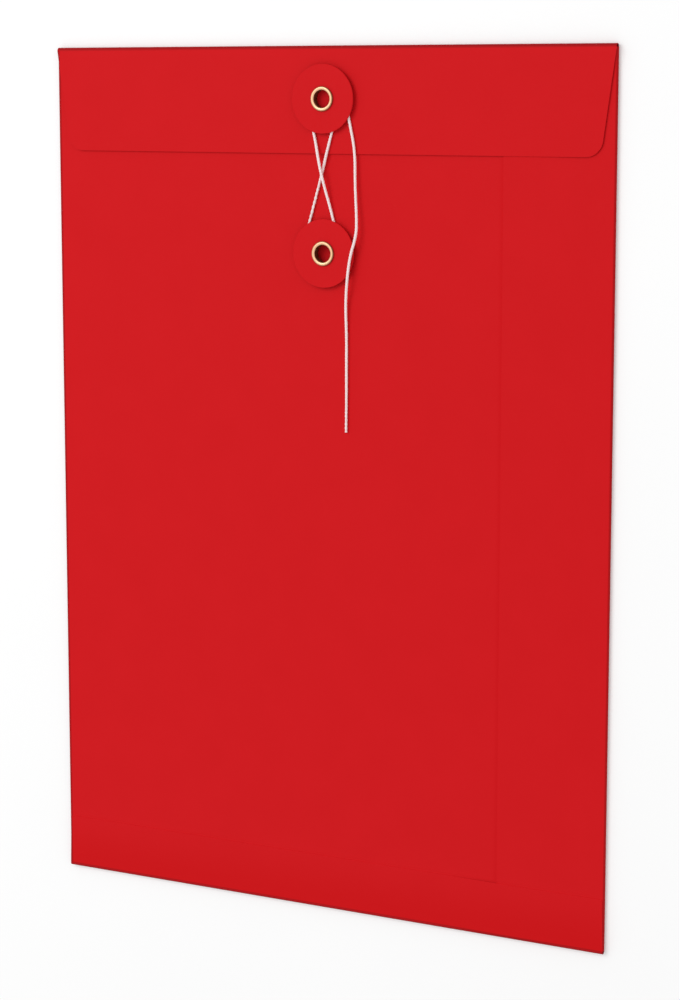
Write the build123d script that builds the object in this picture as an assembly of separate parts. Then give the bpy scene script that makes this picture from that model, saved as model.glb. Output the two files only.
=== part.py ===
from build123d import *
import math
import os

# String tie envelope, C4 pocket: a folded paper blank, two board washers on brass eyelets and a
# string wound once round both. It lies on its back, flap side up and top towards +Y, origin under its
# middle. A height is counted from the bottom fold along the envelope, and a depth from the outer face
# of the back panel towards the front.

# Paper blank
envelope_width = 229.0
envelope_height = 324.0
paper = 0.25
pocket_gap = 1.2
glue_film = 0.05

# Side seam: the narrow front panel, folded in from the right, lies on the edge of the wide one
seam_to_side = 42.1
seam_overlap = 12.0
seam_step_run = 20.0
seam_glue_inset = 1.5
seam_glue_margin = 4.0

# Mouth of the pocket, cut lower than the top fold, with slanted shoulders at the sides
throat_drop = 7.0
shoulder_run = 9.0
shoulder_drop = 1.2

# Bottom flap, folded up over the foot of the front panels and glued down on them
front_foot_gap = 0.2
bottom_flap_height = 20.5
bottom_flap_side_inset = 0.3
bottom_flap_taper = 0.5
bottom_flap_corner = 1.0
bottom_glue_inset = 2.5

# Closing flap
flap_height = 38.85
flap_side_inset = 0.3
flap_taper = 5.2
flap_corner = 6.5
flap_gap = 0.4
flap_root_gap = 0.05

# Tie: washers and eyelets
tie_offset = 1.45
upper_tie_drop = 19.1
tie_spacing = 56.0
washer_diameter = 25.0
washer_thickness = 0.5
washer_edge_bevel = 0.12
washer_play = 0.05
barrel_diameter = 7.0
barrel_wall = 0.25
eyelet_diameter = 9.0
eyelet_bead = 0.7
eyelet_bead_steps = 8
crimp_diameter = 8.8
crimp_bead = 0.3
crimp_bead_steps = 6
paper_hole_play = 0.03

# String
string_diameter = 1.1
string_sides = 10
string_clearance = 0.1
string_self_gap = 0.6
upper_winding_radius = 6.73
upper_winding_shift = -0.07
lower_winding_radius = 7.81
lower_winding_shift = -1.39
last_turn_radius = 8.6
winding_points_per_turn = 16
anchor_start_angle = 250.0
tail_exit_angle = 12.6
winding_end_run = 3.0

# The loose end of the string from where it leaves the last turn: across from the tie's middle line,
# height above the bottom fold, and depth of the string's middle
tail_route = [
    (10.40, 297.6, 3.0),
    (12.95, 286.0, 3.05),
    (13.00, 275.0, 3.28),
    (14.20, 259.3, 3.98),
    (13.60, 254.6, 4.27),
    (11.45, 248.1, 4.28),
    (10.30, 239.6, 4.36),
    (8.97, 230.0, 2.9),
    (9.20, 219.0, 2.4),
    (9.10, 207.5, 2.36),
    (9.15, 196.5, 2.37),
    (8.97, 183.4, 2.35),
]

# Worked out from the sizes above
front_depth = paper + pocket_gap
front_face = front_depth + paper
seam_depth = front_face + glue_film
flap_depth = front_face + flap_gap
flap_face = flap_depth + paper
string_room = string_diameter + 2 * string_clearance
eyelet_height = string_room + washer_thickness + washer_play
total_depth = flap_face + eyelet_height + eyelet_bead
side_fold_radius = front_face / 2
seam_rise = seam_depth - front_depth
bottom_flap_depth = front_face + glue_film
bottom_fold_radius = (bottom_flap_depth + paper) / 2
front_foot = bottom_fold_radius + front_foot_gap
top_fold_radius = flap_face / 2
hinge_height = envelope_height - top_fold_radius
panel_half = envelope_width / 2 - side_fold_radius
flap_half = envelope_width / 2 - flap_side_inset
bottom_flap_half = envelope_width / 2 - bottom_flap_side_inset
seam_x = envelope_width / 2 - seam_to_side
wide_edge_x = seam_x + seam_overlap
step_foot_x = wide_edge_x + seam_step_run
throat_height = envelope_height - throat_drop
shoulder_height = envelope_height - max(shoulder_drop, top_fold_radius)
upper_tie_height = envelope_height - upper_tie_drop
lower_tie_height = upper_tie_height - tie_spacing
barrel_radius = barrel_diameter / 2
anchor_radius = barrel_radius + string_clearance + string_diameter / 2


def layer(depth):
    """Drawing plane at a depth, x across and y up from the bottom fold, that extrudes towards the front."""
    return Plane((0, -envelope_height / 2, depth))


def across(height, depth=0):
    """Plane for a section across the envelope, x across and y towards the front; minus extrudes upwards."""
    return Plane((0, height - envelope_height / 2, depth), x_dir=(1, 0, 0), z_dir=(0, -1, 0))


def sheet(outline, depth, thickness=paper):
    return extrude(layer(depth) * outline, amount=thickness)


def box_outline(left, right, bottom, top):
    middle = Pos((left + right) / 2, (bottom + top) / 2)
    return middle * Rectangle(right - left, top - bottom)


def half_ring(radius):
    """The upper half of a folded sheet's section."""
    ring = Circle(radius) - Circle(radius - paper)
    return ring & Pos(0, radius / 2) * Rectangle(2 * radius, radius)


def cross_fold(radius, height, half_width, turn):
    """A fold that runs across the envelope; turn -90 closes it at the top and 90 at the bottom."""
    section_plane = Plane.YZ * Pos(height - envelope_height / 2, radius) * Rot(0, 0, turn)
    return extrude(section_plane * half_ring(radius), amount=half_width, both=True)


def side_fold(side):
    """A fold up one side of the pocket, side +1 on the right and -1 on the left."""
    radius = side_fold_radius
    middle = Pos(side * panel_half, radius)
    section = across(front_foot) * middle * Rot(0, 0, -90 * side) * half_ring(radius)
    return extrude(section, amount=front_foot - shoulder_height)


def tie_hole(height):
    return Pos(tie_offset, height) * Circle(barrel_radius + paper_hole_play)


def front_outline(left, right, side):
    """A front panel from the bottom fold to the mouth, with its shoulder at the folded side."""
    blank = box_outline(left, right, front_foot, shoulder_height)
    inner = side * (panel_half - shoulder_run)
    mouth = Polygon(
        (side * panel_half, shoulder_height),
        (inner, throat_height),
        (-side * panel_half, throat_height),
        (-side * panel_half, shoulder_height),
        align=None,
    )
    return blank - mouth


def make_back_panel():
    return sheet(box_outline(-panel_half, panel_half, bottom_fold_radius, hinge_height), 0)


def make_wide_front_panel():
    outline = front_outline(-panel_half, wide_edge_x, -1) - tie_hole(lower_tie_height)
    return sheet(outline, front_depth)


def sheet_section(under):
    """Section of a bent sheet, from the line that its under side follows across the envelope."""
    over = [(x, rise + paper) for x, rise in reversed(under)]
    return Polygon(*under, *over, align=None)


def make_narrow_front_panel():
    """A sheet that steps up from the pocket's front onto the edge of the wide panel."""
    under = [(seam_x, seam_rise), (wide_edge_x + paper, seam_rise), (step_foot_x, 0), (panel_half, 0)]
    bent = extrude(across(0, front_depth) * sheet_section(under), amount=-shoulder_height)
    outline = front_outline(seam_x, panel_half, 1)
    return bent & sheet(outline, front_depth, seam_rise + 2 * paper)


def make_bottom_flap():
    """A sheet folded up from the back panel, which rides over the side seam's two layers."""
    top_half = bottom_flap_half - bottom_flap_taper
    outline = Polygon(
        (-bottom_flap_half, bottom_fold_radius),
        (bottom_flap_half, bottom_fold_radius),
        (top_half, bottom_flap_height),
        (-top_half, bottom_flap_height),
        align=None,
    )
    corners = outline.vertices().group_by(Axis.Y)[-1]
    rise = seam_depth + paper + glue_film - bottom_flap_depth
    under = [
        (-bottom_flap_half, 0),
        (seam_x - seam_step_run, 0),
        (seam_x - paper, rise),
        (wide_edge_x + paper, rise),
        (step_foot_x, 0),
        (bottom_flap_half, 0),
    ]
    bent = extrude(across(0, bottom_flap_depth) * sheet_section(under), amount=-bottom_flap_height)
    return bent & sheet(fillet(corners, bottom_flap_corner), bottom_flap_depth, rise + 2 * paper)


def make_bottom_glue():
    half = panel_half - bottom_flap_taper - bottom_glue_inset
    low = front_foot + bottom_glue_inset
    high = bottom_flap_height - bottom_glue_inset
    right = seam_x - seam_step_run - bottom_glue_inset
    return sheet(box_outline(-half, right, low, high), front_face, glue_film)


def make_seam_glue():
    left = seam_x + seam_glue_inset
    right = wide_edge_x - seam_glue_inset
    top = throat_height - seam_glue_margin
    return sheet(box_outline(left, right, seam_glue_margin, top), front_face, glue_film)


def make_closing_flap():
    root = hinge_height - flap_root_gap
    edge = envelope_height - flap_height
    edge_half = flap_half - flap_taper
    outline = Polygon(
        (-flap_half, root),
        (-edge_half, edge),
        (edge_half, edge),
        (flap_half, root),
        align=None,
    )
    corners = outline.vertices().group_by(Axis.Y)[0]
    return sheet(fillet(corners, flap_corner) - tie_hole(upper_tie_height), flap_depth)


def make_washer(height, face):
    """A die-cut board disc that turns on the eyelet's barrel, clear of the string under it."""
    ring = Circle(washer_diameter / 2) - Circle(barrel_radius + washer_play)
    disc = sheet(Pos(tie_offset, height) * ring, face + string_room, washer_thickness)
    rims = disc.edges().filter_by(GeomType.CIRCLE).sort_by(SortBy.RADIUS)[-2:]
    return chamfer(rims, washer_edge_bevel)


def bead_points(inner, outer, base, height, steps):
    """Half an ellipse from the bore to the rim of an eyelet's bead."""
    middle = (inner + outer) / 2
    reach = (outer - inner) / 2
    angles = [math.pi * i / steps for i in range(steps + 1)]
    return [(middle - reach * math.cos(angle), base + height * math.sin(angle)) for angle in angles]


def make_eyelet(height, face):
    """A drawn tube with a rolled bead in front of the washer and a crimped bead behind the paper."""
    bore = barrel_radius - barrel_wall
    bead = bead_points(bore, eyelet_diameter / 2, eyelet_height, eyelet_bead, eyelet_bead_steps)
    crimp = bead_points(bore, crimp_diameter / 2, -paper, -crimp_bead, crimp_bead_steps)
    section = Polygon(
        *bead,
        (barrel_radius, eyelet_height),
        (barrel_radius, -paper),
        *reversed(crimp),
        align=None,
    )
    middle = Pos(tie_offset, 0)
    ring = revolve(across(height, face) * section, Axis((0, height - envelope_height / 2, face), (0, 0, 1)))
    return middle * ring


def turn_points(height, depth, full_radius, full_shift, start, end, start_radius, end_radius):
    """Points of a turn round a tie, spiralling steadily from one angle and radius to another.

    The turn's middle moves aside with its radius, by the whole shift at the full radius.
    """
    steps = math.ceil(abs(end - start) / 360 * winding_points_per_turn)
    points = []
    for i in range(steps + 1):
        share = i / steps
        angle = math.radians(start + share * (end - start))
        radius = start_radius + share * (end_radius - start_radius)
        shift = full_shift * min(1, (radius - anchor_radius) / (full_radius - anchor_radius))
        x = tie_offset + shift + radius * math.cos(angle)
        points.append((x, depth, height + radius * math.sin(angle)))
    return points


def strand_points(start, end, shares, depths):
    """Points of a straight strand, by share of its length and by depth."""
    points = []
    for share, depth in zip(shares, depths):
        x = start[0] + share * (end[0] - start[0])
        z = start[2] + share * (end[2] - start[2])
        points.append((x, depth, z))
    return points


def string_points():
    """Middle line of the string as (x, depth, z): a figure of eight from the upper tie, then the tail."""
    upper_depth = flap_face + string_room / 2
    lower_depth = front_face + string_room / 2
    over_depth = lower_depth + string_diameter + string_self_gap
    slant = math.degrees(math.asin((upper_winding_radius + lower_winding_radius) / tie_spacing))
    upper = (upper_tie_height, upper_depth, upper_winding_radius, upper_winding_shift)
    lower = (lower_tie_height, lower_depth, lower_winding_radius, lower_winding_shift)
    anchor = turn_points(*upper, anchor_start_angle, -slant, anchor_radius, upper_winding_radius)
    under = turn_points(*lower, 180 - slant, 360 + slant, lower_winding_radius, lower_winding_radius)
    over = turn_points(*upper, 180 + slant, tail_exit_angle, upper_winding_radius, last_turn_radius)
    down_shares = (0.355, 0.445)
    up_shares = (0.25, 0.46, 0.612, 0.745)
    down = strand_points(anchor[-1], under[0], down_shares, (upper_depth, lower_depth))
    up_depths = (lower_depth, over_depth, over_depth, upper_depth)
    up = strand_points(under[-1], over[0], up_shares, up_depths)
    tail = [(tie_offset + x, depth, z) for x, z, depth in tail_route]
    return anchor + down + under + up + over, tail


def as_place(point):
    x, depth, z = point
    return Vector(x, z - envelope_height / 2, depth)


def smooth_path(points):
    """Straight runs joined by tangent arcs, each as large as its two runs allow."""
    places = [as_place(point) for point in points]
    radii = []
    for before, here, after in zip(places, places[1:], places[2:]):
        turn = math.radians((here - before).get_angle(after - here))
        shorter = min((here - before).length, (after - here).length)
        radii.append(0.45 * shorter / math.tan(turn / 2))
    return FilletPolyline(*places, radius=radii), radii


def make_string():
    """The wound stretch and the loose tail, two tubes that meet face to face on one straight run."""
    wound, tail = string_points()
    last = wound[-1]
    run = math.dist(last, tail[0])
    share = winding_end_run / run
    split = tuple(a + share * (b - a) for a, b in zip(last, tail[0]))
    tubes = []
    for name, points in (("winding", wound + [split]), ("tail", [split] + tail)):
        path, radii = smooth_path(points)
        section = Plane(path @ 0, z_dir=path % 0) * RegularPolygon(string_diameter / 2, string_sides)
        tube = sweep(section, path=path)
        plain = section.area * path.length
        print("string", name, "length", round(path.length, 1), "volume share", round(tube.volume / plain, 4))
        print("radii", [round(radius, 1) for radius in radii])
        print("least gap to itself", round(least_gap(path), 2))
        tubes.append(tube)
    return tubes


def least_gap(path):
    """Least clear gap between stretches of a tube that are not beside each other along it."""
    count = math.ceil(path.length / (string_diameter / 2))
    apart = math.ceil(math.pi * upper_winding_radius / 2 / (path.length / count))
    places = [path @ (i / count) for i in range(count + 1)]
    gaps = [(a - b).length for i, a in enumerate(places) for b in places[i + apart:]]
    return min(gaps) - string_diameter


def build():
    parts = {
        "back_panel": make_back_panel(),
        "wide_front_panel": make_wide_front_panel(),
        "narrow_front_panel": make_narrow_front_panel(),
        "left_fold": side_fold(-1),
        "right_fold": side_fold(1),
        "bottom_fold": cross_fold(bottom_fold_radius, bottom_fold_radius, bottom_flap_half, 90),
        "bottom_flap": make_bottom_flap(),
        "bottom_glue": make_bottom_glue(),
        "seam_glue": make_seam_glue(),
        "flap_fold": cross_fold(top_fold_radius, hinge_height, flap_half, -90),
        "closing_flap": make_closing_flap(),
        "upper_washer": make_washer(upper_tie_height, flap_face),
        "lower_washer": make_washer(lower_tie_height, front_face),
        "upper_eyelet": make_eyelet(upper_tie_height, flap_face),
        "lower_eyelet": make_eyelet(lower_tie_height, front_face),
    }
    parts["string_winding"], parts["string_tail"] = make_string()
    return parts


os.makedirs("parts", exist_ok=True)
for name, part in build().items():
    export_step(part, f"parts/{name}.step")
hinge_y = hinge_height - envelope_height / 2
print("hinge", round(hinge_y, 4), round(top_fold_radius, 4), "depth", round(total_depth, 3))
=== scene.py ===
import bpy
import math
from mathutils import Matrix, Vector


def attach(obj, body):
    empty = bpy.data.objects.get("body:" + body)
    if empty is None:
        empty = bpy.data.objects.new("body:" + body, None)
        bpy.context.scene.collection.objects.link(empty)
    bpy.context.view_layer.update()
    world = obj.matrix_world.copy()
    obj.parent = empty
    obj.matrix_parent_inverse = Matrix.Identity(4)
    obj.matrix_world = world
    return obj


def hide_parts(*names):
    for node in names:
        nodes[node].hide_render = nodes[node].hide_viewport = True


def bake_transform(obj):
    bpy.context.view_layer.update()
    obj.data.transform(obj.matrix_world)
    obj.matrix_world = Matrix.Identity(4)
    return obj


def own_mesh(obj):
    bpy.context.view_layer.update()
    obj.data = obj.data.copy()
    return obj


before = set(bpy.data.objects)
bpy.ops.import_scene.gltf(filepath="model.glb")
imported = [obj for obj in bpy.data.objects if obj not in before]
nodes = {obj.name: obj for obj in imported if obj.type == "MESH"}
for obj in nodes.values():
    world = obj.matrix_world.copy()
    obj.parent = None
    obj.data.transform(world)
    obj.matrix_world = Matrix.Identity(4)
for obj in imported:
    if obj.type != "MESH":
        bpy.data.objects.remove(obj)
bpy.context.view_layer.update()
scene = bpy.context.scene
scene.view_settings.view_transform = "Standard"
print("frame loaded:", len(nodes), "nodes")


# Small helpers for node trees, materials and meshes
def addNode(tree, kind, **settings):
    node = tree.nodes.new(kind)
    for name, value in settings.items():
        setattr(node, name, value)
    return node


def link(tree, source, target):
    tree.links.new(source, target)


def feed(tree, value, socket):  # a number or a colour is set on the socket, an output is linked to it
    if isinstance(value, (int, float, tuple)):
        socket.default_value = value
    else:
        link(tree, value, socket)


def mathNode(tree, operation, *values):
    node = addNode(tree, "ShaderNodeMath", operation=operation)
    for value, socket in zip(values, node.inputs):
        feed(tree, value, socket)
    return node.outputs[0]


def vectorNode(tree, operation, *values):
    node = addNode(tree, "ShaderNodeVectorMath", operation=operation)
    for value, socket in zip(values, node.inputs):
        feed(tree, value, socket)
    return node


def weigh(tree, values, shares):  # two values added up by their shares
    first, second = [mathNode(tree, "MULTIPLY", value, share) for value, share in zip(values, shares)]
    return mathNode(tree, "ADD", first, second)


def ramp(tree, value, low, high, outLow=0.0, outHigh=1.0):
    node = addNode(tree, "ShaderNodeMapRange", interpolation_type="SMOOTHSTEP")
    link(tree, value, node.inputs["Value"])
    for label, number in (("From Min", low), ("From Max", high), ("To Min", outLow), ("To Max", outHigh)):
        feed(tree, number, node.inputs[label])
    return node.outputs["Result"]


def mixColour(tree, factor, first, second):
    node = addNode(tree, "ShaderNodeMix", data_type="RGBA")
    feed(tree, factor, node.inputs[0])
    for colour, socket in ((first, node.inputs[6]), (second, node.inputs[7])):  # its two colour sockets
        feed(tree, (*colour, 1.0) if isinstance(colour, tuple) else colour, socket)
    return node.outputs[2]  # its colour


def objectPlace(tree):
    return addNode(tree, "ShaderNodeTexCoord").outputs["Object"]


def splitAxes(tree, vector):
    parts = addNode(tree, "ShaderNodeSeparateXYZ")
    link(tree, vector, parts.inputs[0])
    return parts.outputs


def noise(tree, place, scale, **values):
    node = addNode(tree, "ShaderNodeTexNoise")
    link(tree, place, node.inputs["Vector"])
    feed(tree, scale, node.inputs["Scale"])
    for label, value in values.items():
        node.inputs[label].default_value = value
    return node.outputs[0]


def addBump(tree, shader, height, s):
    bump = addNode(tree, "ShaderNodeBump")
    bump.inputs["Strength"].default_value = s["bump"]
    bump.inputs["Distance"].default_value = s["bumpReach"]
    link(tree, height, bump.inputs["Height"])
    link(tree, bump.outputs["Normal"], shader.inputs["Normal"])


def directRays(tree):  # 1 for what the camera sees, straight or in metal and glass, and else 0
    rays = addNode(tree, "ShaderNodeLightPath").outputs
    direct = mathNode(tree, "MAXIMUM", rays["Is Camera Ray"], rays["Is Glossy Ray"])
    return mathNode(tree, "MAXIMUM", direct, rays["Is Transmission Ray"])


def newGroup(name, inputs, outputs):  # every socket of these groups is a plain number
    group = bpy.data.node_groups.new(name, "ShaderNodeTree")
    for label in inputs:
        group.interface.new_socket(label, in_out="INPUT", socket_type="NodeSocketFloat")
    for label in outputs:
        group.interface.new_socket(label, in_out="OUTPUT", socket_type="NodeSocketFloat")
    return group, addNode(group, "NodeGroupInput").outputs, addNode(group, "NodeGroupOutput").inputs


def useGroup(tree, group, values):
    node = addNode(tree, "ShaderNodeGroup", node_tree=group)
    for label, value in values.items():
        feed(tree, value, node.inputs[label])
    return node.outputs


def newMaterial(name):
    material = bpy.data.materials.new(name)
    material.use_nodes = True
    tree = material.node_tree
    return material, tree, tree.nodes["Principled BSDF"]


def coatNode(name, material):
    slots = nodes[name].data.materials
    slots.clear()
    slots.append(material)


def addObject(name, data):
    piece = bpy.data.objects.new(name, data)
    scene.collection.objects.link(piece)
    return piece


def smooth(mesh, sharpDegrees=40):
    mesh.polygons.foreach_set("use_smooth", [True] * len(mesh.polygons))
    mesh.set_sharp_from_angle(angle=math.radians(sharpDegrees))
    mesh.update()


# Camera: the photograph's angle on the envelope as it lies flap side up
cameraSettings = {
    "place": (0.4303, 0.1470, 0.81125),
    "aim": (-0.45917, -0.14764, -0.87600),
    "upward": (-0.06854, 0.98904, -0.13076),
    "sensor": 36.0,
    "lens": 132.295,
    "shift": (0.0056, -0.0582),
    "clipStart": 0.01,
}


def addCamera(s):
    data = bpy.data.cameras.new("photoCamera")
    data.sensor_fit = "HORIZONTAL"
    data.sensor_width = s["sensor"]
    data.lens = s["lens"]
    data.shift_x, data.shift_y = s["shift"]
    data.clip_start = s["clipStart"]
    camera = addObject("photoCamera", data)
    aim = Vector(s["aim"]).normalized()
    across = aim.cross(Vector(s["upward"])).normalized()
    turn = Matrix((across, across.cross(aim), -aim)).transposed()
    camera.matrix_world = Matrix.Translation(s["place"]) @ turn.to_4x4()
    scene.camera = camera


addCamera(cameraSettings)
print("camera placed")


# String: a figure of eight under the two washers, then the loose end, as control points in metres
stringRoute = {
    "tieX": 0.00145,
    "upperY": 0.1429,
    "lowerY": 0.0869,
    "upperZ": 0.0030,
    "lowerZ": 0.00235,
    "overZ": 0.00405,
    "anchorRadius": 0.00415,
    "upperRadius": 0.00673,
    "upperShift": -0.00007,
    "lowerRadius": 0.00781,
    "lowerShift": -0.00139,
    "lastRadius": 0.0086,
    "pointsPerTurn": 16,
    "anchorAngle": 250.0,
    "exitAngle": 12.6,
    "downShares": (0.355, 0.445),  # points of the strand to the lower tie, by share of its length
    "upShares": (0.25, 0.46, 0.612, 0.745),  # and of the strand that passes over it on the way back
    "tail": [
        (0.01040, 0.1356, 0.00300),
        (0.01295, 0.1240, 0.00305),
        (0.01300, 0.1130, 0.00328),
        (0.01420, 0.0973, 0.00398),
        (0.01360, 0.0926, 0.00427),
        (0.01145, 0.0861, 0.00428),
        (0.01030, 0.0776, 0.00436),
        (0.00897, 0.0680, 0.00290),
        (0.00920, 0.0570, 0.00240),
        (0.00910, 0.0455, 0.00236),
        (0.00915, 0.0345, 0.00237),
        (0.00897, 0.0214, 0.00235),
    ],
    "order": 3,
    "resolution": 16,
    "length": 0.309,
    "diameter": 0.0011,
}


def turnPoints(middleY, height, fullRadius, fullShift, startAngle, endAngle, startRadius, endRadius):
    s = stringRoute
    steps = math.ceil(abs(endAngle - startAngle) / 360 * s["pointsPerTurn"])
    points = []
    for i in range(steps + 1):
        share = i / steps
        angle = math.radians(startAngle + share * (endAngle - startAngle))
        radius = startRadius + share * (endRadius - startRadius)
        grown = min(1, (radius - s["anchorRadius"]) / (fullRadius - s["anchorRadius"]))
        x = s["tieX"] + fullShift * grown + radius * math.cos(angle)
        points.append((x, middleY + radius * math.sin(angle), height))
    return points


def strandPoints(start, end, shares, heights):
    points = []
    for share, height in zip(shares, heights):
        x, y = [a + share * (b - a) for a, b in zip(start[:2], end[:2])]
        points.append((x, y, height))
    return points


def routePoints():
    s = stringRoute
    slant = math.degrees(math.asin((s["upperRadius"] + s["lowerRadius"]) / (s["upperY"] - s["lowerY"])))
    upper = (s["upperY"], s["upperZ"], s["upperRadius"], s["upperShift"])
    lower = (s["lowerY"], s["lowerZ"], s["lowerRadius"], s["lowerShift"])
    anchor = turnPoints(*upper, s["anchorAngle"], -slant, s["anchorRadius"], s["upperRadius"])
    under = turnPoints(*lower, 180 - slant, 360 + slant, s["lowerRadius"], s["lowerRadius"])
    last = turnPoints(*upper, 180 + slant, s["exitAngle"], s["upperRadius"], s["lastRadius"])
    down = strandPoints(anchor[-1], under[0], s["downShares"], (s["upperZ"], s["lowerZ"]))
    upHeights = (s["lowerZ"], s["overZ"], s["overZ"], s["upperZ"])
    up = strandPoints(under[-1], last[0], s["upShares"], upHeights)
    tail = [(s["tieX"] + x, y, z) for x, y, z in s["tail"]]
    return anchor + down + under + up + last + tail


def splineObject(name, points, kind):
    data = bpy.data.curves.new(name, "CURVE")
    data.dimensions = "3D"
    spline = data.splines.new(kind)
    spline.points.add(len(points) - 1)
    for point, place in zip(spline.points, points):
        point.co = (*place, 1.0)
    if kind == "NURBS":
        spline.order_u = stringRoute["order"]
        spline.use_endpoint_u = True
        spline.resolution_u = stringRoute["resolution"]
    return addObject(name, data)


def readLine(curve):  # the points of a smooth curve, which is then removed
    bpy.context.view_layer.update()
    mesh = bpy.data.meshes.new_from_object(curve)
    bpy.data.objects.remove(curve)
    return [tuple(vertex.co) for vertex in mesh.vertices]


stringLine = readLine(splineObject("stringRouteCurve", routePoints(), "NURBS"))
measured = sum(math.dist(a, b) for a, b in zip(stringLine, stringLine[1:]))
print("string route:", len(stringLine), "points,", round(measured * 1000, 1), "mm")


# Three twisted plies along the string's line, made by Geometry Nodes
plySettings = {"Plies": 3, "Ply Radius": 0.00034, "Ply Offset": 0.00022, "Lay Length": 0.0032, "Sides": 8}


def passThrough(tree, kind, geometry, **settings):
    node = addNode(tree, kind, **settings)
    link(tree, geometry, node.inputs["Geometry"])
    return node


def storeValue(tree, geometry, name, value):
    node = passThrough(tree, "GeometryNodeStoreNamedAttribute", geometry, data_type="FLOAT", domain="POINT")
    node.inputs["Name"].default_value = name
    link(tree, value, node.inputs["Value"])
    return node.outputs["Geometry"]


def plyTree(material):
    tree = bpy.data.node_groups.new("twistedPlies", "GeometryNodeTree")
    face = tree.interface
    face.new_socket("Geometry", in_out="INPUT", socket_type="NodeSocketGeometry")
    for label, value in plySettings.items():
        kind = "NodeSocketInt" if isinstance(value, int) else "NodeSocketFloat"
        face.new_socket(label, in_out="INPUT", socket_type=kind).default_value = value
    face.new_socket("Geometry", in_out="OUTPUT", socket_type="NodeSocketGeometry")
    given = addNode(tree, "NodeGroupInput").outputs
    result = addNode(tree, "NodeGroupOutput").inputs

    # A copy of the line for each ply, wound round it along its length
    copies = passThrough(tree, "GeometryNodeDuplicateElements", given["Geometry"], domain="SPLINE")
    link(tree, given["Plies"], copies.inputs["Amount"])
    along = addNode(tree, "GeometryNodeSplineParameter").outputs["Length"]
    turns = mathNode(tree, "DIVIDE", along, given["Lay Length"])
    start = mathNode(tree, "DIVIDE", copies.outputs["Duplicate Index"], given["Plies"])
    angle = mathNode(tree, "MULTIPLY", mathNode(tree, "ADD", turns, start), 2 * math.pi)
    normal = addNode(tree, "GeometryNodeInputNormal").outputs[0]
    tangent = addNode(tree, "GeometryNodeInputTangent").outputs[0]
    side = vectorNode(tree, "CROSS_PRODUCT", tangent, normal).outputs[0]
    reaches = []
    for direction, wave in ((normal, "COSINE"), (side, "SINE")):
        reach = vectorNode(tree, "SCALE", direction)
        size = mathNode(tree, "MULTIPLY", mathNode(tree, wave, angle), given["Ply Offset"])
        link(tree, size, reach.inputs["Scale"])
        reaches.append(reach.outputs[0])
    offset = vectorNode(tree, "ADD", *reaches).outputs[0]
    lines = storeValue(tree, copies.outputs["Geometry"], "alongString", along)
    twisted = passThrough(tree, "GeometryNodeSetPosition", lines)
    link(tree, offset, twisted.inputs["Offset"])

    # A round section along each ply
    section = addNode(tree, "GeometryNodeCurvePrimitiveCircle")
    link(tree, given["Sides"], section.inputs["Resolution"])
    link(tree, given["Ply Radius"], section.inputs["Radius"])
    around = addNode(tree, "GeometryNodeSplineParameter").outputs["Factor"]
    profile = storeValue(tree, section.outputs["Curve"], "aroundPly", around)
    tube = addNode(tree, "GeometryNodeCurveToMesh")
    tube.inputs["Fill Caps"].default_value = True
    link(tree, twisted.outputs["Geometry"], tube.inputs["Curve"])
    link(tree, profile, tube.inputs["Profile Curve"])
    rounded = passThrough(tree, "GeometryNodeSetShadeSmooth", tube.outputs["Mesh"])
    real = passThrough(tree, "GeometryNodeRealizeInstances", rounded.outputs["Geometry"])
    painted = passThrough(tree, "GeometryNodeSetMaterial", real.outputs["Geometry"])
    painted.inputs["Material"].default_value = material
    link(tree, painted.outputs["Geometry"], result["Geometry"])
    return tree


def meshFromNodes(source, tree, name, values):
    modifier = source.modifiers.new("build", "NODES")
    modifier.node_group = tree
    for item in tree.interface.items_tree:
        if item.in_out == "INPUT" and item.name in values:
            modifier[item.identifier] = values[item.name]
    bpy.context.view_layer.update()
    ready = source.evaluated_get(bpy.context.evaluated_depsgraph_get())
    mesh = bpy.data.meshes.new_from_object(ready)
    source.modifiers.clear()
    bpy.data.objects.remove(source)
    mesh.name = name
    return mesh


# Shared effect: fibres and cloudiness of a sheet of paper or board
fibreSettings = {
    "turn": 0.21,  # slant of the fibres on the sheet, in radians
    "grain": {"Detail": 5.0, "Roughness": 0.62},
    "strands": {"Detail": 4.0, "Distortion": 0.8},
    "cloud": {"Detail": 3.0},
    "fineShares": (0.45, 0.55),  # grain, strands
    "toneShares": (0.6, 0.4),  # cloud, grain and strands together
}


def fibreGroup(s):
    labels = ("Fine Scale", "Cloud Scale", "Stretch")
    group, given, result = newGroup("paperFibres", labels, ("Tone", "Height"))
    place = objectPlace(group)
    turned = addNode(group, "ShaderNodeMapping")
    turned.inputs["Rotation"].default_value = (0.0, 0.0, s["turn"])
    link(group, place, turned.inputs["Vector"])
    squeeze = addNode(group, "ShaderNodeCombineXYZ")
    for axis, size in (("X", 1.0), ("Y", given["Stretch"]), ("Z", 1.0)):
        feed(group, size, squeeze.inputs[axis])
    stretched = vectorNode(group, "MULTIPLY", turned.outputs[0], squeeze.outputs[0]).outputs[0]
    grain = noise(group, place, given["Fine Scale"], **s["grain"])
    strands = noise(group, stretched, given["Fine Scale"], **s["strands"])
    cloud = noise(group, place, given["Cloud Scale"], **s["cloud"])
    fine = weigh(group, (grain, strands), s["fineShares"])
    link(group, weigh(group, (cloud, fine), s["toneShares"]), result["Tone"])
    link(group, fine, result["Height"])
    return group


# Shared effect: a mask for the painted light on cut edges and painted shade on folds, from how far the
# surface turns away from the sheet's own face
def edgeGroup():
    group, given, result = newGroup("sheetEdge", ("Low", "High"), ("Edge",))
    normal = splitAxes(group, addNode(group, "ShaderNodeTexCoord").outputs["Normal"])
    turned = mathNode(group, "SUBTRACT", 1.0, mathNode(group, "ABSOLUTE", normal["Z"]))
    link(group, ramp(group, turned, given["Low"], given["High"]), result["Edge"])
    return group
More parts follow.
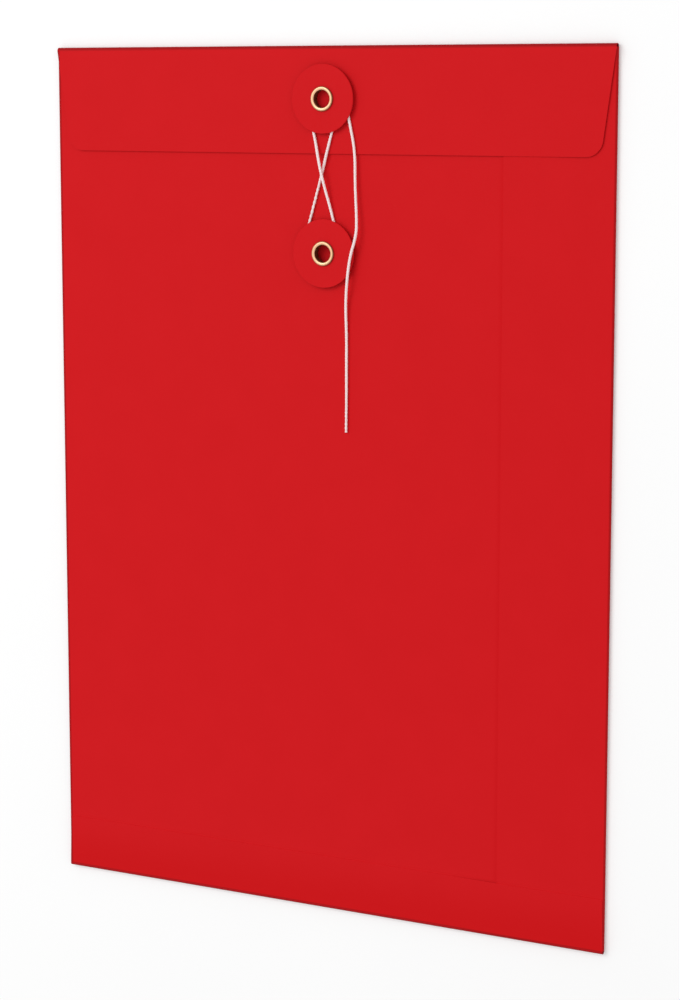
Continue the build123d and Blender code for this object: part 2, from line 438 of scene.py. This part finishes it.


# Shared effect: a faint straight line of painted light and shade on the paper, by distance from a place
# across or up the sheet
def paintedLineGroup():
    group, given, result = newGroup("paintedLightAndShadeLine", ("Along", "Place", "Reach"), ("Line",))
    away = mathNode(group, "ABSOLUTE", mathNode(group, "SUBTRACT", given["Along"], given["Place"]))
    share = mathNode(group, "DIVIDE", away, given["Reach"])
    link(group, ramp(group, share, 0.0, 1.0, 1.0, 0.0), result["Line"])
    return group


# Shared effect: a line of painted shade along the sheet where it runs into its left, top and bottom folds
def paintedOutlineShadeGroup():
    labels = ("Left Line", "Half Height", "Side Reach", "End Reach")
    group, given, result = newGroup("paintedOutlineShade", labels, ("Outline Shade",))
    place = splitAxes(group, objectPlace(group))
    fromLeft = mathNode(group, "SUBTRACT", place["X"], given["Left Line"])
    fromEnd = mathNode(group, "SUBTRACT", given["Half Height"], mathNode(group, "ABSOLUTE", place["Y"]))
    nearest = mathNode(group, "MINIMUM", mathNode(group, "DIVIDE", fromLeft, given["Side Reach"]),
                       mathNode(group, "DIVIDE", fromEnd, given["End Reach"]))
    link(group, ramp(group, nearest, 0.0, 1.0, 1.0, 0.0), result["Outline Shade"])
    return group


paperFibres = fibreGroup(fibreSettings)
sheetEdge = edgeGroup()
paintedLightAndShadeLine = paintedLineGroup()
paintedOutlineShade = paintedOutlineShadeGroup()
print("shared effects ready")


# Red paper: dyed through, smooth and matt, faintly cloudy, with painted light that makes cut edges paler and
# painted shade that makes folds and the outline darker
paperSettings = {
    "red": (0.636, 0.0058, 0.0094),
    "deepRed": (0.622, 0.0052, 0.0085),
    "fibres": {"Fine Scale": 2600.0, "Cloud Scale": 60.0, "Stretch": 0.22},
    "toneSpan": (0.3, 0.7),
    "roughness": (0.56, 0.70),
    "specular": 0.10,
    "bump": 0.10,
    "bumpReach": 0.00006,
    "edges": {  # where the surface starts and ends to turn away from the sheet, and its colour there
        # paler cut edges: painted light that lifts the shade on edges turned away from the lamp
        "cutEdgeLight": (0.30, 0.90, (0.84, 0.018, 0.024)),
        # darker folds: painted shade
        "fold": (-0.08, 0.10, (0.34, 0.0034, 0.0052)),
        # the right fold lies in real shade and gets less painted shade
        "shadyFold": (0.0, 0.16, (0.46, 0.0045, 0.0068)),
    },
    # painted shade along the left, top and bottom folds; the right fold lies in real shade and gets none
    "outlineShadeRed": (0.36, 0.0036, 0.0055),
    "outlineShadeLines": {"Left Line": -0.11365, "Half Height": 0.1609, "Side Reach": 0.0008, "End Reach": 0.0005},
    "rootOutlineShade": {"Left Line": -0.11365, "Half Height": 0.16085, "Side Reach": 0.0008, "End Reach": 0.0002},
    # painted shade, darker towards the bottom fold
    "footShadeSpan": (-0.160, -0.139),
    "footShadeRed": (0.604, 0.0028, 0.0052),
    # painted light: a paler line along the bottom flap's top edge
    "footEdgeLight": (-0.1413, 0.0006, (0.652, 0.0078, 0.0116)),  # height, reach and colour
    # painted shade beside the seam on the wide panel, painted light along the narrow panel's edge
    "seamX": 0.0724,
    "seamReach": 0.0021,
    "seamShade": (0.609, 0.0030, 0.0063),
    "seamHighlight": (0.631, 0.0057, 0.0092),
    "seamHighlightShare": 0.4,  # reach of the lit side, by that of the dark one
}
boardFibres = {"Fine Scale": 1700.0, "Cloud Scale": 110.0, "Stretch": 0.22}
# the washers' cut edges get the same painted light
boardSettings = dict(paperSettings, fibres=boardFibres, bump=0.18, bumpReach=0.00009)


def paperMaterial(name, s, edge="cutEdgeLight", lines=(), foot=None, outlineShade=None):
    material, tree, shader = newMaterial(name)
    fibres = useGroup(tree, paperFibres, s["fibres"])
    body = mixColour(tree, ramp(tree, fibres["Tone"], *s["toneSpan"]), s["deepRed"], s["red"])
    place = splitAxes(tree, objectPlace(tree))
    # lines of painted light and shade: beside the seam and along the bottom flap's edge
    for axis, middle, reach, colour in lines:
        mark = useGroup(tree, paintedLightAndShadeLine, {"Along": place[axis], "Place": middle, "Reach": reach})
        body = mixColour(tree, mark["Line"], body, colour)
    # painted shade, darker towards the bottom fold
    if foot:
        low, high, footShadeColour = foot
        body = mixColour(tree, ramp(tree, place["Y"], low, high, 1.0, 0.0), body, footShadeColour)
    # painted shade along the left, top and bottom folds
    if outlineShade:
        body = mixColour(tree, useGroup(tree, paintedOutlineShade, outlineShade)["Outline Shade"], body, s["outlineShadeRed"])
    # painted light on cut edges, painted shade on folds
    low, high, edgeColour = s["edges"][edge]
    turned = useGroup(tree, sheetEdge, {"Low": low, "High": high})["Edge"]
    link(tree, mixColour(tree, turned, body, edgeColour), shader.inputs["Base Color"])
    rough = ramp(tree, fibres["Height"], *s["toneSpan"], *s["roughness"])
    link(tree, rough, shader.inputs["Roughness"])
    shader.inputs["Specular IOR Level"].default_value = s["specular"]
    addBump(tree, shader, fibres["Height"], s)
    return material


def paperLooks(s):
    # painted shade beside the seam and painted light along its edge
    dark = ("X", s["seamX"], s["seamReach"], s["seamShade"])
    lit = ("X", s["seamX"], s["seamHighlightShare"] * s["seamReach"], s["seamHighlight"])
    # painted light along the bottom flap's top edge
    footEdgeLight = ("Y", *s["footEdgeLight"])
    foot = (*s["footShadeSpan"], s["footShadeRed"])
    return {
        "plain": paperMaterial("redPaper", s, outlineShade=s["rootOutlineShade"]),
        "fold": paperMaterial("foldedPaper", s, "fold"),
        "shadyFold": paperMaterial("shadyFoldPaper", s, "shadyFold"),
        "seamUnder": paperMaterial("seamUnderPaper", s, lines=(dark, footEdgeLight), outlineShade=s["outlineShadeLines"]),
        "seamOver": paperMaterial("seamOverPaper", s, lines=(lit, footEdgeLight)),
        "foot": paperMaterial("footPaper", s, foot=foot, outlineShade=s["outlineShadeLines"]),
    }


paper = paperLooks(paperSettings)
redBoard = paperMaterial("redBoard", boardSettings)
sheetLooks = {
    "back_panel": paper["plain"],
    "closing_flap": paper["plain"],
    "bottom_flap": paper["foot"],
    "wide_front_panel": paper["seamUnder"],
    "narrow_front_panel": paper["seamOver"],
    "left_fold": paper["fold"],
    "right_fold": paper["shadyFold"],
    "bottom_fold": paper["fold"],
    "upper_washer": redBoard,
    "lower_washer": redBoard,
}
for name, material in sheetLooks.items():
    coatNode(name, material)
print("paper and board done")


# Dried paste in the seams
glueSettings = {
    "colour": (0.70, 0.63, 0.50),
    "dark": (0.60, 0.50, 0.36),
    "roughness": 0.38,
    "smearScale": 420.0,
    "smearDetail": 4.0,
    "smearSpan": (0.35, 0.65),
    "bump": 0.3,
    "bumpReach": 0.00004,
}


def glueMaterial(s):
    material, tree, shader = newMaterial("driedPaste")
    smear = noise(tree, objectPlace(tree), s["smearScale"], Detail=s["smearDetail"])
    colour = mixColour(tree, ramp(tree, smear, *s["smearSpan"]), s["dark"], s["colour"])
    link(tree, colour, shader.inputs["Base Color"])
    shader.inputs["Roughness"].default_value = s["roughness"]
    addBump(tree, shader, smear, s)
    return material


driedPaste = glueMaterial(glueSettings)
for name in ("seam_glue", "bottom_glue"):
    coatNode(name, driedPaste)
print("glue done")


# White cotton string, tinted pink with painted red light bounced from the paper
stringLooks = {
    # painted reflection: both colours are tinted pink for red light bounced from the paper
    "white": (0.99, 0.855, 0.85),
    "shade": (0.92, 0.755, 0.75),
    "shadeSpan": (0.15, 0.6),
    "roughness": 0.72,
    "specular": 0.2,
    "sheen": 0.25,
    "streaks": (9.0, 2600.0),  # yarn streaks round a ply, and along a metre of it
    "lintScale": 5200.0,
    "lintDetail": 4.0,
    "heightShares": (0.6, 0.4),  # streaks, lint
    "bump": 0.5,
    "bumpReach": 0.00005,
}


def stringMaterial(s):
    material, tree, shader = newMaterial("whiteCotton")
    along = addNode(tree, "ShaderNodeAttribute", attribute_name="alongString").outputs["Fac"]
    around = addNode(tree, "ShaderNodeAttribute", attribute_name="aroundPly").outputs["Fac"]
    slope = weigh(tree, (around, along), s["streaks"])
    streak = mathNode(tree, "ABSOLUTE", mathNode(tree, "SINE", mathNode(tree, "MULTIPLY", slope, math.pi)))
    lint = noise(tree, objectPlace(tree), s["lintScale"], Detail=s["lintDetail"])
    height = weigh(tree, (streak, lint), s["heightShares"])
    colour = mixColour(tree, ramp(tree, height, *s["shadeSpan"]), s["shade"], s["white"])
    link(tree, colour, shader.inputs["Base Color"])
    shader.inputs["Roughness"].default_value = s["roughness"]
    shader.inputs["Specular IOR Level"].default_value = s["specular"]
    shader.inputs["Sheen Weight"].default_value = s["sheen"]
    addBump(tree, shader, height, s)
    return material


plyLine = splineObject("stringPlyLine", stringLine, "POLY")
plies = meshFromNodes(plyLine, plyTree(stringMaterial(stringLooks)), "tieString", plySettings)
tieString = addObject("tieString", plies)
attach(tieString, "flap")
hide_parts("string_winding", "string_tail")
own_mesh(tieString)
print("string:", len(plies.polygons), "faces")


# Brass eyelets: a drawn tube with a rolled rim in front and a scalloped crimp behind
eyeletSettings = {
    "middleX": 0.00145,
    "places": {"upper": (0.1429, 0.00235, "flap"), "lower": (0.0869, 0.00170, "pocket")},
    "bore": 0.00325,
    "barrel": 0.0035,
    "rim": 0.0045,
    "rimBase": 0.00185,
    "rimHeight": 0.0007,
    "rimSteps": 16,
    "waistShare": 0.45,  # height of the rim's widest place, by the rim's height
    "tuckShare": 0.3,  # how far the rim turns in below it, by half the rim's width
    "tuckSteps": 8,
    "crimpRim": 0.0044,
    "paper": 0.00025,
    "crimpHeight": 0.0003,
    "crimpSteps": 12,
    "crimpScallops": 8,
    "scallopDepth": 0.00012,
    "boreSteps": 8,
    "innerShadeAndDull": 0.8,  # how far the brass is darkened with painted shade and dulled at the rim's inner and outer sides
    "outerShadeAndDull": 0.9,
    "outerShadeAndDullStart": 9.3,  # step of the rim where the painted shade and dulling of its outer side start
    "shadeAndDullSteps": 4,
    "innerShadeAndDullPower": 2,
    "boreShadeAndDullPower": 4,
    "segments": 96,
}


def halfRound(inner, outer, steps):  # middle, half width and angles of a half round across the tube's wall
    return (inner + outer) / 2, (outer - inner) / 2, [math.pi * i / steps for i in range(steps + 1)]


def eyeletSection(s):
    # radius, height, how far the crimp is pinched, how far the brass is darkened with painted shade and
    # dulled
    waist = s["rimBase"] + s["waistShare"] * s["rimHeight"]
    crown = (1 - s["waistShare"]) * s["rimHeight"]
    middle, reach, angles = halfRound(s["bore"], s["rim"], s["rimSteps"])
    points = []
    for i, angle in enumerate(angles):
        # painted shade, with dulling, on the rim's outer foot and inner edge
        outer = s["outerShadeAndDull"] * min(1.0, max(0.0, (i - s["outerShadeAndDullStart"]) / s["shadeAndDullSteps"]))
        inner = s["innerShadeAndDull"] * max(0.0, (s["shadeAndDullSteps"] - i) / s["shadeAndDullSteps"]) ** s["innerShadeAndDullPower"]
        height = waist + crown * math.sin(angle)
        points.append((middle - reach * math.cos(angle), height, 0.0, max(outer, inner)))
    # painted shade, with dulling, under the rim's tuck
    for i in range(1, s["tuckSteps"] + 1):
        share = i / s["tuckSteps"]
        angle = math.pi / 2 * share
        radius = s["rim"] - s["tuckShare"] * reach * (1 - math.cos(angle))
        height = waist - s["waistShare"] * s["rimHeight"] * math.sin(angle)
        points.append((radius, height, 0.0, s["outerShadeAndDull"] + (1 - s["outerShadeAndDull"]) * share))
    points += [(s["barrel"], s["rimBase"], 0.0, 1.0), (s["barrel"], -s["paper"], 0.0, 1.0)]
    middle, reach, angles = halfRound(s["bore"], s["crimpRim"], s["crimpSteps"])
    for angle in angles:
        pinch = (1 + math.cos(angle)) / 2
        height = -s["paper"] - s["crimpHeight"] * math.sin(angle)
        points.append((middle + reach * math.cos(angle), height, pinch, 1.0 - pinch))
    # painted shade down the bore, lighter towards its top
    for i in range(1, s["boreSteps"]):
        share = i / s["boreSteps"]
        shadeAndDull = 1.0 - (1.0 - s["innerShadeAndDull"]) * share ** s["boreShadeAndDullPower"]
        points.append((s["bore"], -s["paper"] + share * (waist + s["paper"]), 0.0, shadeAndDull))
    return points


def eyeletMesh(name, s, middleY, face):
    section = eyeletSection(s)
    count = len(section)
    points, quads, loopUv, shadeAndDull = [], [], [], []
    for j in range(s["segments"]):
        angle = 2 * math.pi * j / s["segments"]
        pinch = s["scallopDepth"] * (1 - math.cos(s["crimpScallops"] * angle)) / 2
        for radius, height, share, shade in section:
            r = radius - pinch * share
            points.append((s["middleX"] + r * math.cos(angle), middleY + r * math.sin(angle), face + height))
            shadeAndDull.append(shade)
    for j in range(s["segments"]):
        k = (j + 1) % s["segments"]
        for i in range(count):
            n = (i + 1) % count
            quads.append((j * count + i, j * count + n, k * count + n, k * count + i))
            for u, v in ((j, i), (j, i + 1), (j + 1, i + 1), (j + 1, i)):
                loopUv.append((u / s["segments"], v / count))
    mesh = bpy.data.meshes.new(name)
    mesh.from_pydata(points, [], quads)
    layer = mesh.uv_layers.new(name="ring")
    for loop, uv in zip(layer.data, loopUv):
        loop.uv = uv
    mesh.attributes.new("boreShade", "FLOAT", "POINT").data.foreach_set("value", shadeAndDull)
    smooth(mesh)
    return mesh


brassSettings = {
    "pale": (0.78, 0.48, 0.28),
    "deep": (0.58, 0.32, 0.14),
    # dark brown: painted shade down the bore, under the rim's tuck and at its outer foot
    "bore": (0.19, 0.075, 0.028),
    "roughness": (0.32, 0.48),
    "boreRoughness": 0.25,  # added where the brass is dulled
    "drawScale": (14.0, 900.0, 1.0),  # fine lines round the ring
    "drawDetail": 3.0,
    "drawSpan": (0.3, 0.7),
    "tarnishScale": 900.0,
    "tarnishDetail": 5.0,
    "tarnishSpan": (0.52, 0.80),
    "tarnishMost": 0.45,
    "bump": 0.12,
    "bumpReach": 0.00002,
}


def brassMaterial(s):
    material, tree, shader = newMaterial("paleBrass")
    drawn = addNode(tree, "ShaderNodeMapping")
    drawn.inputs["Scale"].default_value = s["drawScale"]
    link(tree, addNode(tree, "ShaderNodeUVMap", uv_map="ring").outputs["UV"], drawn.inputs["Vector"])
    draw = noise(tree, drawn.outputs[0], 1.0, Detail=s["drawDetail"])
    tarnish = noise(tree, objectPlace(tree), s["tarnishScale"], Detail=s["tarnishDetail"])
    spots = ramp(tree, tarnish, *s["tarnishSpan"], 0.0, s["tarnishMost"])
    shade = addNode(tree, "ShaderNodeAttribute", attribute_name="boreShade").outputs["Fac"]
    bright = mixColour(tree, spots, s["pale"], s["deep"])
    # painted shade where boreShade is set, with the brass also rougher there
    link(tree, mixColour(tree, shade, bright, s["bore"]), shader.inputs["Base Color"])
    shader.inputs["Metallic"].default_value = 1.0
    rough = ramp(tree, draw, *s["drawSpan"], *s["roughness"])
    dulled = mathNode(tree, "MULTIPLY", shade, s["boreRoughness"])
    link(tree, mathNode(tree, "ADD", rough, dulled), shader.inputs["Roughness"])
    addBump(tree, shader, draw, s)
    return material


paleBrass = brassMaterial(brassSettings)
for place, (middleY, face, body) in eyeletSettings["places"].items():
    name = place + "EyeletBrass"
    eyelet = addObject(name, eyeletMesh(name, eyeletSettings, middleY, face))
    eyelet.data.materials.append(paleBrass)
    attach(eyelet, body)
    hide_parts(place + "_eyelet")
print("eyelets done")


# Top fold: the curved strip of paper along the flap's hinge
foldSettings = {
    "halfWidth": 0.1142,
    "middleY": 0.160825,
    "middleZ": 0.001175,
    "outer": 0.001175,
    "paper": 0.00025,
    "rootGap": 0.00005,
    "arcSteps": 24,
    "widthSteps": 40,
}


def foldMesh(s):
    points, quads = [], []
    rows = s["arcSteps"] + 1
    for i in range(s["widthSteps"] + 1):
        x = -s["halfWidth"] + 2 * s["halfWidth"] * i / s["widthSteps"]
        for radius in (s["outer"], s["outer"] - s["paper"]):
            for j in range(rows):
                angle = math.pi * (j / s["arcSteps"] - 0.5)
                y = s["middleY"] + radius * math.cos(angle) - (s["rootGap"] if j == s["arcSteps"] else 0.0)
                points.append((x, y, s["middleZ"] + radius * math.sin(angle)))
    step = 2 * rows
    for i in range(s["widthSteps"]):
        for j in range(s["arcSteps"]):
            a = i * step + j
            quads.append((a, a + step, a + step + 1, a + 1))  # outer face
            b = a + rows
            quads.append((b, b + 1, b + step + 1, b + step))  # inner face
        for j, flip in ((0, False), (s["arcSteps"], True)):  # long edges
            a = i * step + j
            edge = (a, a + rows, a + rows + step, a + step)
            quads.append(tuple(reversed(edge)) if flip else edge)
    for i, flip in ((0, False), (s["widthSteps"], True)):  # ends
        for j in range(s["arcSteps"]):
            a = i * step + j
            end = (a, a + 1, a + rows + 1, a + rows)
            quads.append(tuple(reversed(end)) if flip else end)
    mesh = bpy.data.meshes.new("topFoldStrip")
    mesh.from_pydata(points, [], quads)
    smooth(mesh)
    return mesh


topFold = addObject("topFoldStrip", foldMesh(foldSettings))
topFold.data.materials.append(paper["fold"])
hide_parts("flap_fold")
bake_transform(topFold)
print("top fold done")


# Pale floor, one large soft lamp from the upper left, even light all round
stageSettings = {
    "white": (1.0, 1.0, 1.0, 1.0),
    "floorSize": 40.0,
    "floorZ": -0.00015,
    "floorTone": 0.80,
    "floorRoughness": 0.95,
    "mottleScale": 9.0,
    "mottleStep": 0.02,
    "floorLift": (0.20, 0.42),  # glow of the floor near the object and far from it
    "liftSpan": (0.25, 1.6),
    "ambient": 0.74,
    "lampFrom": (-0.42, 0.44, 0.79),
    "lampDistance": 1.9,
    "lampSize": 1.2,
    "lampWatts": 12.0,
}


def floorMaterial(s):
    material, tree, shader = newMaterial("paleFloor")
    place = objectPlace(tree)
    mottle = noise(tree, place, s["mottleScale"])
    pale, paler = [(tone,) * 3 for tone in (s["floorTone"], s["floorTone"] + s["mottleStep"])]
    link(tree, mixColour(tree, mottle, pale, paler), shader.inputs["Base Color"])
    shader.inputs["Roughness"].default_value = s["floorRoughness"]
    shader.inputs["Specular IOR Level"].default_value = 0.0
    shader.inputs["Emission Color"].default_value = s["white"]
    away = vectorNode(tree, "LENGTH", place).outputs["Value"]
    lift = ramp(tree, away, *s["liftSpan"], *s["floorLift"])
    link(tree, mathNode(tree, "MULTIPLY", directRays(tree), lift), shader.inputs["Emission Strength"])
    return material


def addFloor(s):
    half, z = s["floorSize"] / 2, s["floorZ"]
    corners = [(-half, -half, z), (half, -half, z), (half, half, z), (-half, half, z)]
    mesh = bpy.data.meshes.new("paleFloor")
    mesh.from_pydata(corners, [], [(0, 1, 2, 3)])
    mesh.materials.append(floorMaterial(s))
    floor = addObject("paleFloor", mesh)


def addEvenLight(s):
    world = bpy.data.worlds.new("evenLight")
    scene.world = world
    world.use_nodes = True
    tree = world.node_tree
    sky = tree.nodes["Background"]
    sky.inputs["Color"].default_value = s["white"]
    link(tree, ramp(tree, directRays(tree), 0.0, 1.0, s["ambient"], 1.0), sky.inputs["Strength"])


def addLamp(s):
    data = bpy.data.lights.new("softLamp", "AREA")
    data.shape = "DISK"
    data.size = s["lampSize"]
    data.energy = s["lampWatts"]
    lamp = addObject("softLamp", data)
    lampFrom = Vector(s["lampFrom"]).normalized()
    lamp.location = lampFrom * s["lampDistance"]
    lamp.rotation_euler = lampFrom.to_track_quat("Z", "Y").to_euler()


addFloor(stageSettings)
addEvenLight(stageSettings)
addLamp(stageSettings)
print("stage ready")

bpy.context.view_layer.update()
